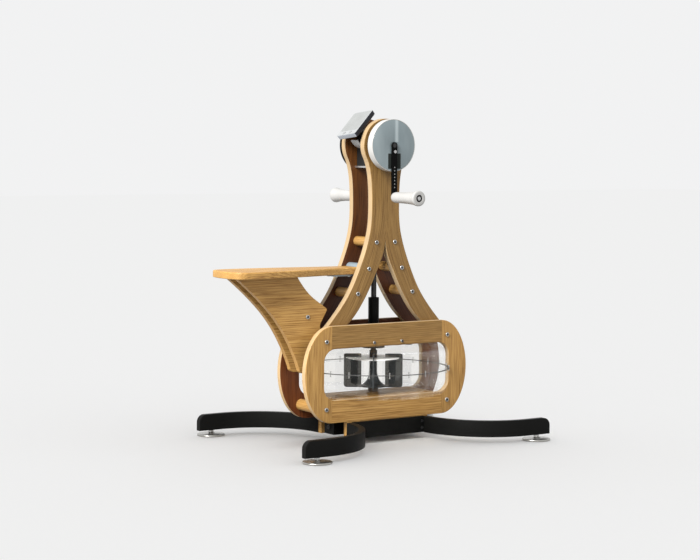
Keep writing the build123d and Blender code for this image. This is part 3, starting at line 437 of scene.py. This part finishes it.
def bent_arm_grid(low_z, high_z, tip_x):
    """Grid of points over one arm, in the quarter where X and Y are positive.

    The centre line leaves the plank square to it, follows a quarter circle and runs straight
    to the tip, where the top drops in a quarter round. Each row is the section's outline, and
    the first and last rows are shrunk to a point to close the ends.
    """
    bend_r = foot_y - ring_face
    bend_end_x = arm_root_x + bend_r
    turn, ease = np.linspace(0, pi / 2, 49), np.sin(np.linspace(0, pi / 2, 12))
    straight = np.concatenate([
        np.linspace(0.01, tip_x - bend_end_x - tip_round - 0.002, 6),
        tip_x - bend_end_x - tip_round * (1 - ease),
    ])
    x = np.concatenate([arm_root_x + bend_r * (1 - np.cos(turn)), bend_end_x + straight])
    y = np.concatenate([ring_face + bend_r * np.sin(turn), np.full(len(straight), foot_y)])
    angle = np.concatenate([pi / 2 - turn, np.zeros(len(straight))])
    into_round = np.clip((x - (tip_x - tip_round)) / tip_round, 0, 1) * (angle == 0)
    height = high_z - tip_round * (1 - np.sqrt(1 - into_round**2)) - low_z

    x, y, angle, height = (
        np.concatenate([v[:1], v, v[-1:]])[:, None] for v in (x, y, angle, height)
    )
    shrink = np.ones_like(x)
    shrink[[0, -1]] = 0
    # The section is drawn in a square of half-width 1, with `corner` of it at each rounding.
    corner = 0.12
    section = softened([(-1, 0), (1, 0), (1, 1), (-1, 1)], corner, 4, closed=True)
    across, up = section[:, 0], section[:, 1]
    across = np.sign(across) * (arm_thick / 2 - arm_edge * (1 - np.abs(across)) / corner)
    bottom = np.where(up < 0.5, up / corner * arm_edge, 0)
    top = np.where(up >= 0.5, height - (1 - up) / corner * arm_edge, 0)
    middle = height / 2
    out = across * shrink
    return np.stack([
        x - np.sin(angle) * out,
        y + np.cos(angle) * out,
        low_z + middle + (bottom + top - middle) * shrink,
    ], -1)


arm_thick, arm_edge, tip_round = 0.022, 0.0016, 0.026
arm_root_x, foot_x, foot_y = 0.162, 0.460, 0.349
for side, s in SIDES.items():
    for end, e in ENDS.items():
        name = f"{side}_{end}_base_arm"
        low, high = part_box(name)
        grid = bent_arm_grid(low.z, high.z, max(abs(low.x), abs(high.x))) * (e, s, 1)
        skin(f"{side}_{end}_bent_arm", grid, black_lacquer, "frame", (name,))


# -------------------------------------------------------------------------- feet
# Each arm stands on a turned steel disc with a stem that screws up into it. A six-sided
# lock nut on the stem sits just above the disc.
spun_steel = brushed_metal("spun_steel", (0.50, 0.49, 0.46), 0.28, 1.0, (8, 8, 400))
disc_profile = softened(
    [(0, 0), (0.0485, 0), (0.0500, 0.0015), (0.0500, 0.0050), (0.0480, 0.0068), (0.0150, 0.0088),
     (0.0090, 0.0112), (0.0060, 0.0114), (0.0060, 0.0540), (0, 0.0540)], 0.0009, 4,
)
nut_profile = softened([(0, 0.0125), (0.0105, 0.0125), (0.0105, 0.0190), (0, 0.0190)], 0.0007, 2)
for side, s in SIDES.items():
    for end, e in ENDS.items():
        body = f"{side}_{end}_leveller"
        spot = (e * foot_x, s * foot_y)
        turned(f"{side}_{end}_foot_disc", disc_profile, spun_steel, body,
               (f"{side}_{end}_foot",), spot)
        turned(f"{side}_{end}_lock_nut", nut_profile, zinc, body, (), spot, "Z", 6)


# -------------------------------------------------------------------------- tank
# The tank is two clear moulded dishes bolted at a flange, with a thin dark gasket. The
# upper one has a neck for the shaft and a filler hole with a black plug.
def moulded_plastic(name, colour, roughness, grain=900.0, depth=0.00004, coat=0.0,
                    shine=0.5):
    """Plastic with a fine spark-eroded texture and slightly uneven gloss."""
    material, nodes, link, shader = new_material(name)
    specks = noise(nodes, link, mapped(nodes, link), grain, 2)
    broad = noise(nodes, link, mapped(nodes, link), 22.0, 2)
    dull = [0.9 * c for c in colour]
    link(ramp(nodes, link, broad, (0.3, dull), (0.7, colour)), shader.inputs["Base Color"])
    uneven = ramp(
        nodes, link, broad, (0.3, (roughness * 1.15,) * 3), (0.7, (roughness * 0.9,) * 3)
    )
    link(uneven, shader.inputs["Roughness"])
    set_inputs(shader, Specular_IOR_Level=shine, Coat_Weight=coat, Coat_Roughness=0.12)
    bumped(nodes, link, shader, specks, 0.12, depth)
    return material


# Most light passes the clear plastic straight, so the paddle stays sharp behind it.
clear, _, _, clear_shader = new_material("clear_tank_plastic")
set_inputs(clear_shader, Base_Color=(0.80, 0.74, 0.60, 1), Roughness=0.0, IOR=1.3,
           Transmission_Weight=1.0, Alpha=0.09)
tank_r, wall, flange_r, flange = 0.265, 0.004, 0.270, 0.007
lower_low, lower_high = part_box("tank_lower_shell")
upper_low, upper_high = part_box("tank_upper_shell")
floor_z, mouth_z, lip_z = lower_low.z, lower_high.z, upper_low.z
roof_z, neck_z = 0.333, upper_high.z
lower_loop = softened(
    [(0, floor_z), (tank_r, floor_z), (tank_r, mouth_z - flange), (flange_r, mouth_z - flange),
     (flange_r, mouth_z), (tank_r - wall, mouth_z), (tank_r - wall, floor_z + wall),
     (0, floor_z + wall)],
    [0, 0.052, 0.0015, 0.001, 0.001, 0.001, 0.048, 0], 12,
)
turned("tank_lower_dish", lower_loop, clear, "frame", ("tank_lower_shell",),
       steps=160)
upper_loop = softened(
    [(0.016, roof_z - wall), (tank_r - wall, roof_z - wall), (tank_r - wall, lip_z),
     (flange_r, lip_z), (flange_r, lip_z + flange), (tank_r, lip_z + flange), (tank_r, roof_z),
     (0.022, roof_z), (0.022, neck_z), (0.016, neck_z)],
    [0, 0.048, 0.001, 0.001, 0.001, 0.0015, 0.052, 0.003, 0.001, 0.001], 12, closed=True,
)
turned("tank_upper_dish", upper_loop, clear, "frame", ("tank_upper_shell",),
       steps=160, wrap=True)
dark_rubber = moulded_plastic("gasket_rubber", (0.05, 0.05, 0.048), 0.6)
seal_in, seal_out = tank_r - wall, flange_r - 0.0005
seal = [(seal_in, mouth_z), (seal_out, mouth_z), (seal_out, lip_z), (seal_in, lip_z)]
turned("tank_seal", seal, dark_rubber, "frame", ("tank_gasket",), steps=160, wrap=True)

black_plastic = moulded_plastic("black_plastic", (0.008, 0.008, 0.008), 0.45, shine=0.2)
plug_low, plug_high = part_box("tank_plug")
plug_x = (plug_low.x + plug_high.x) / 2
plug_skirt, plug_under = 0.01495, roof_z + 0.0003
plug_profile = softened(
    [(0, plug_low.z), (plug_skirt, plug_low.z), (plug_skirt, plug_under), (0.022, plug_under),
     (0.022, plug_high.z), (0.017, plug_high.z), (0.016, plug_high.z - 0.002),
     (0, plug_high.z - 0.002)], 0.0015, 3,
)
turned("filler_cap", plug_profile, black_plastic, "filler_plug", ("tank_plug",),
       (plug_x, 0))


# ------------------------------------------------------------------------ paddle
# The paddle is a dark hub on a spreading foot with four hanging vanes and a white disc. Its
# shaft leaves the tank through a dark bearing flange and enters a long black coupling.
dress(brushed_metal("dark_bronze", (0.10, 0.085, 0.07), 0.4, 0.7), "tank_bearings")
vane_plastic = moulded_plastic("vane_plastic", (0.030, 0.034, 0.036), 0.38, shine=0.25)
paddle_low, paddle_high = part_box("impeller")
shaft_r, disc_z = 0.0095, 0.284
hub_profile = softened(
    [(0, paddle_low.z), (0.008, paddle_low.z), (0.008, 0.183), (0.048, 0.183), (0.048, 0.187),
     (0.038, 0.190), (0.024, 0.202), (0.0138, 0.226), (0.0135, 0.312), (shaft_r, 0.314),
     (shaft_r, paddle_high.z), (0, paddle_high.z)],
    [0, 0, 0.001, 0.0015, 0.0015, 0.006, 0.009, 0.012, 0.001, 0.001, 0.001, 0], 5,
)
turned("paddle_hub", hub_profile, vane_plastic, "paddle_shaft", ("impeller",))
white_plastic = moulded_plastic("white_plastic", (0.36, 0.355, 0.34), 0.4, coat=0.05)
plate_in, plate_out, plate_top = 0.0130, 0.0920, disc_z + 0.003
plate = softened(
    [(plate_in, disc_z), (plate_out, disc_z), (plate_out, plate_top), (plate_in, plate_top)],
    0.0012, 3, closed=True,
)
disc_white = moulded_plastic("disc_white", (0.93, 0.93, 0.91), 0.35)
turned("paddle_disc", plate, disc_white, "paddle_shaft", wrap=True)


def slab(name, outline, thick, place, material, body):
    """A flat plate: its outline shrunk towards its middle makes the edge rounds and the faces.

    place(u, v, w) gives the space point for the outline's two coordinates and the depth.
    """
    edge = 0.001
    outline = np.asarray(outline, float)
    middle = (outline.max(0) + outline.min(0)) / 2
    spread = outline - middle
    reach = np.linalg.norm(spread, axis=1, keepdims=True)
    arc = np.linspace(0, pi / 2, 4)
    insets = np.concatenate([edge * (1 - np.sin(arc)), edge * (1 - np.sin(arc[::-1]))])
    depths = np.concatenate([edge * (1 - np.cos(arc)), thick - edge * (1 - np.cos(arc[::-1]))])
    rows = [np.repeat(middle[None], len(outline), 0)]
    rows += [middle + spread * (1 - inset / reach) for inset in insets]
    rows += [rows[0]]
    levels = np.concatenate([[0], depths, [thick]])
    points = np.stack([
        np.stack(place(row[:, 0], row[:, 1], np.full(len(row), level)), -1)
        for row, level in zip(rows, levels)
    ])
    return skin(name, points, material, body)


vane_in, vane_out, vane_low, vane_high, vane_thick = 0.042, 0.104, 0.180, 0.300, 0.004
vane_outline = softened(
    [(vane_in, vane_low), (vane_out, vane_low), (vane_out, vane_high), (vane_in, vane_high)],
    [0.004, 0.012, 0.008, 0.004], 6, closed=True,
)
first_heading = -34
for number in range(4):
    heading = radians(first_heading + 90 * number)

    def hung(u, v, w, heading=heading):
        """Radial distance u, height v, and depth w across the vane's middle plane."""
        aside = w - vane_thick / 2
        x = u * cos(heading) - aside * sin(heading)
        return x, u * sin(heading) + aside * cos(heading), v

    slab(f"paddle_vane_{number + 1}", vane_outline, vane_thick, hung, vane_plastic,
         "paddle_shaft")


# ------------------------------------------------------------------------- drive
# A black coupling and a plain shaft run up between the legs to a cast gearbox, which
# stands on a pale aluminium plate between the heads.
black_metal = brushed_metal("black_painted_metal", (0.010, 0.010, 0.010), 0.45)
coupling_low, coupling_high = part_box("shaft_coupling")
sleeve = softened(
    [(shaft_r, coupling_low.z), (0.019, coupling_low.z), (0.019, coupling_high.z),
     (shaft_r, coupling_high.z)], [0, 0.0015, 0.0025, 0], 4, closed=True,
)
turned("coupling_sleeve", sleeve, black_metal, "paddle_shaft",
       ("shaft_coupling",), wrap=True)
shaft_low, shaft_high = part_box("drive_shaft")
journal_z = 0.974
rod = softened(
    [(0, shaft_low.z), (shaft_r, shaft_low.z), (shaft_r, journal_z), (0.007, journal_z),
     (0.007, shaft_high.z), (0, shaft_high.z)], 0.0006, 2,
)
turned("upright_shaft", rod, dark_metal, "paddle_shaft", ("drive_shaft",))
cast = moulded_plastic("cast_housing", (0.010, 0.010, 0.010), 0.5, 500, 0.0001, shine=0.15)
dress(cast, "gearbox_housing")
dress(brushed_metal("pale_aluminium", (0.66, 0.66, 0.65), 0.38), "gearbox_base_plate")


# ------------------------------------------------------------------------ cranks
# A white drum with a glossy grey-blue face stands outside the front head, and a thin dark
# disc behind the back one. A black arm on each carries a white turned grip.
axle_z = 1.0344
drum_low, drum_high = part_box("crank_drum")
drum_r = (drum_high.x - drum_low.x) / 2
face_r = drum_r - 0.0022
patch_x, patch_z, patch_half = 0.003, axle_z - 0.0547, 0.0265
# The pale streak's colour is a painted reflection.
patch_colour, painted_reflection_colour = (0.020, 0.023, 0.021, 1), (0.40, 0.45, 0.46, 1)


def glossy_face(name):
    """Grey-blue acrylic with soft flow marks.

    A dull square dark patch lies below the axle, and above it a soft pale streak, a painted
    reflection.
    """
    material, nodes, link, shader = new_material(name)
    flow = noise(nodes, link, mapped(nodes, link, scale=(9, 9, 2.2)), 2.2, 2)
    tint = ramp(nodes, link, flow, (0.3, (0.118, 0.150, 0.160)), (0.7, (0.175, 0.210, 0.218)))
    where = nodes.new("ShaderNodeSeparateXYZ")
    link(mapped(nodes, link, (-patch_x, 0, -patch_z)), where.inputs[0])
    within = [
        math_node(nodes, link, "LESS_THAN",
                  math_node(nodes, link, "ABSOLUTE", where.outputs[way]), patch_half)
        for way in "XZ"
    ]
    inside = math_node(nodes, link, "MULTIPLY", *within)

    # Painted reflection: a soft pale upright streak just beside the axle line, above the hub.
    aside = math_node(nodes, link, "SUBTRACT", where.outputs["X"], 0.009)
    aside = math_node(nodes, link, "ABSOLUTE", aside)
    streak = ramp(nodes, link, aside, (0.003, (0.5,) * 3), (0.009, (0,) * 3))
    hub_top = axle_z - patch_z + 0.012
    higher = math_node(nodes, link, "GREATER_THAN", where.outputs["Z"], hub_top)
    streak = math_node(nodes, link, "MULTIPLY", streak, higher)
    tint = mix(nodes, link, "MIX", streak, tint, painted_reflection_colour)
    tint = mix(nodes, link, "MIX", inside, tint, patch_colour)
    link(tint, shader.inputs["Base Color"])

    gloss = ramp(nodes, link, flow, (0.3, (0.16,) * 3), (0.7, (0.24,) * 3))
    link(gloss, shader.inputs["Roughness"])
    shine = math_node(nodes, link, "SUBTRACT", 1.0, inside)
    shine = math_node(nodes, link, "MULTIPLY", shine, 0.5)
    link(shine, shader.inputs["Coat Weight"])
    link(shine, shader.inputs["Specular IOR Level"])
    set_inputs(shader, Coat_Roughness=0.06)
    return material


face_acrylic = glossy_face("glossy_acrylic")
satin_black = brushed_metal("satin_black_arm", (0.008, 0.008, 0.008), 0.40)
dish = softened(
    [(0.008, 0.0725), (0.020, 0.0725), (0.020, 0.088), (drum_r, 0.088), (drum_r, 0.117),
     (face_r, 0.117), (face_r, 0.092), (0.020, 0.092), (0.020, 0.1135), (0.008, 0.1135)],
    [0, 0.001, 0.001, 0.0016, 0.0016, 0.0006, 0.002, 0.002, 0.001, 0], 6, closed=True,
)
turned("white_drum", dish * (1, -1), white_plastic, "crank", ("crank_drum",),
       (0, axle_z), "Y", 128, True)
disc_in, disc_out = 0.0085, face_r - 0.0004
disc = softened(
    [(disc_in, 0.115), (disc_out, 0.115), (disc_out, 0.117), (disc_in, 0.117)],
    0.0006, 3, closed=True,
)
turned("drum_face", disc * (1, -1), face_acrylic, "crank", ("disc_face",),
       (0, axle_z), "Y", 128, True)
dark_disc = softened(
    [(0.008, 0.0725), (0.020, 0.0725), (0.020, 0.075), (0.092, 0.075), (0.092, 0.0835),
     (0.020, 0.0835), (0.020, 0.095), (0.008, 0.095)],
    [0, 0.0008, 0.0008, 0.0014, 0.0014, 0.002, 0.001, 0], 5, closed=True,
)
turned("dark_disc", dark_disc, black_metal, "crank", ("back_disc",),
       (0, axle_z), "Y", 128, True)
dress(satin_black, "front_crank_arm", "back_crank_arm")

# Pale plugs stand in the arms' row of holes, a little below the outer face.
nylon = moulded_plastic("pale_nylon", (0.24, 0.24, 0.23), 0.5)
hole_top, hole_pitch, hole_count = axle_z - 0.076, 0.0115, 7
peg = [(0, 0.0008), (0.0024, 0.0008), (0.0024, 0.0052), (0.0020, 0.0056), (0, 0.0056)]
pegs = [
    spun([(r, SIDES[side] * (arm_inner + out)) for r, out in peg],
         (0, hole_top - hole_pitch * number), "Y", 20)
    for side, arm_inner in {"front": 0.118, "back": 0.096}.items() for number in range(hole_count)
]
skin("arm_hole_plugs", pegs, nylon, "crank")

crank_length, grip_length = 0.180, 0.145
grip_z = axle_z - crank_length
grip_white = moulded_plastic("grip_white", (0.33, 0.325, 0.312), 0.42, 700, 0.00008, shine=0.3)
for side, near in {"front": 0.125, "back": 0.103}.items():
    far, mirror = near + grip_length, (1, SIDES[side])
    # Bored handle: out along the bore, over the recess for the cap, round the knob and back.
    handle = softened(
        [(0.00605, near), (0.00605, far - 0.0043), (0.0127, far - 0.0043), (0.0127, far),
         (0.0220, far), (0.0262, far - 0.0020), (0.0268, far - 0.0070), (0.0235, far - 0.0240),
         (0.0204, far - 0.0560), (0.0188, near + 0.0420), (0.0192, near + 0.0120), (0.0170, near)],
        [0, 0, 0, 0.0006, 0.003, 0.003, 0.005, 0.012, 0.018, 0.016, 0.008, 0.002], 8, closed=True,
    )
    turned(f"{side}_handle", handle * mirror, grip_white, f"{side}_handle",
           (f"{side}_grip",), (0, grip_z), "Y", 96, True)
    # Black washer ring round the pin's bright end.
    ring = softened([(0.0068, far - 0.004), (0.0123, far - 0.004), (0.0123, far - 0.0008),
                     (0.0068, far - 0.0008)], 0.0008, 3, closed=True)
    turned(f"{side}_cap_ring", ring * mirror, black_plastic, "crank", (),
           (0, grip_z), "Y", 64, True)


# ----------------------------------------------------------------------- monitor
# A small display with a light face, a dark case and two buttons tilts on a light grey
# bracket screwed to the top of the gearbox.
def two_tone_case(name):
    """Dark moulded case with a pale front and a blue-grey lower side."""
    material, nodes, link, shader = new_material(name)
    # The face slopes by this much from level, and is turned this much in its own plane.
    slope, turn = radians(43.0), radians(9.2)
    front = (-sin(slope), 0, cos(slope))
    below = (-cos(slope) * cos(turn), -sin(turn), -sin(slope) * cos(turn))
    broad = noise(nodes, link, mapped(nodes, link), 22.0, 2)
    body = ramp(nodes, link, broad, (0.3, (0.010, 0.010, 0.013)), (0.7, (0.014, 0.014, 0.018)))
    body = mix(nodes, link, "MIX", facing(nodes, link, below, 0.8), body, (0.25, 0.27, 0.30, 1))
    body = mix(nodes, link, "MIX", facing(nodes, link, front, 0.8), body, (0.235, 0.24, 0.24, 1))
    link(body, shader.inputs["Base Color"])
    uneven = ramp(nodes, link, broad, (0.3, (0.48,) * 3), (0.7, (0.38,) * 3))
    link(uneven, shader.inputs["Roughness"])
    set_inputs(shader, Specular_IOR_Level=0.2)
    return material


dress(two_tone_case("monitor_plastic"), "monitor_case")
dress(moulded_plastic("screen_grey", (0.20, 0.205, 0.20), 0.35, shine=0.2), "monitor_screen")
dress(moulded_plastic("button_grey", (0.205, 0.21, 0.21), 0.4, shine=0.2),
      "monitor_button_1", "monitor_button_2")
dress(brushed_metal("grey_bracket", (0.42, 0.43, 0.43), 0.42, 0.3), "monitor_bracket",
      "monitor_shroud")


# --------------------------------------------------------------- floor and light
# A pale floor under soft studio light: one big panel high on the left, and an even pale
# surround. The camera comes last.
floor_mesh = bpy.data.meshes.new("studio_floor")
reach, under = 30.0, -0.0005
floor_corners = [(-reach, -reach), (reach, -reach), (reach, reach), (-reach, reach)]
floor_mesh.from_pydata([(x, y, under) for x, y in floor_corners], [], [(0, 1, 2, 3)])
floor = bpy.data.objects.new("studio_floor", floor_mesh)
bpy.context.scene.collection.objects.link(floor)
floor_paint, _, _, floor_shader = new_material("pale_floor")
set_inputs(floor_shader, Base_Color=(0.985, 0.985, 0.98, 1), Roughness=1.0, Specular_IOR_Level=0.0)
floor_mesh.materials.append(floor_paint)
# The panel passes the floor by, so the floor stays as even and pale as its surround.
unlit = bpy.data.collections.new("beside_the_panels")
unlit.objects.link(floor)
unlit.collection_objects[0].light_linking.link_state = "EXCLUDE"

world = bpy.data.worlds.new("studio")
bpy.context.scene.world = world
world.use_nodes = True
set_inputs(world.node_tree.nodes["Background"], Color=(0.885, 0.887, 0.89, 1), Strength=1.0)


panel = bpy.data.lights.new("left_panel", "AREA")
panel.shape, panel.size, panel.energy = "SQUARE", 2.5, 1000
holder = bpy.data.objects.new("left_panel", panel)
holder.location = (-4.8, -1.6, 4.2)
holder.rotation_mode = "QUATERNION"
holder.rotation_quaternion = (Vector((0, 0, 0.5)) - holder.location).to_track_quat("-Z", "Y")
holder.light_linking.receiver_collection = unlit
bpy.context.scene.collection.objects.link(holder)
bpy.context.scene.view_settings.view_transform = "Standard"

# The camera stands a little above the seat's height, well to the left of the front.
camera_data = bpy.data.cameras.new("camera")
camera_data.lens, camera_data.sensor_width = 95.6, 36.0
camera_data.clip_start, camera_data.clip_end = 0.1, 200
camera = bpy.data.objects.new("camera", camera_data)
azimuth, elevation, roll = radians(33.87), radians(4.08), radians(-0.31)
sight = Vector((sin(azimuth) * cos(elevation), cos(azimuth) * cos(elevation), -sin(elevation)))
aim_point, distance = Vector((-0.0696, 0.0467, 0.5600)), 6.5565
camera.location = aim_point - sight * distance
camera.rotation_mode = "QUATERNION"
camera.rotation_quaternion = Quaternion(sight, roll) @ sight.to_track_quat("-Z", "Y")
bpy.context.scene.collection.objects.link(camera)
bpy.context.scene.camera = camera
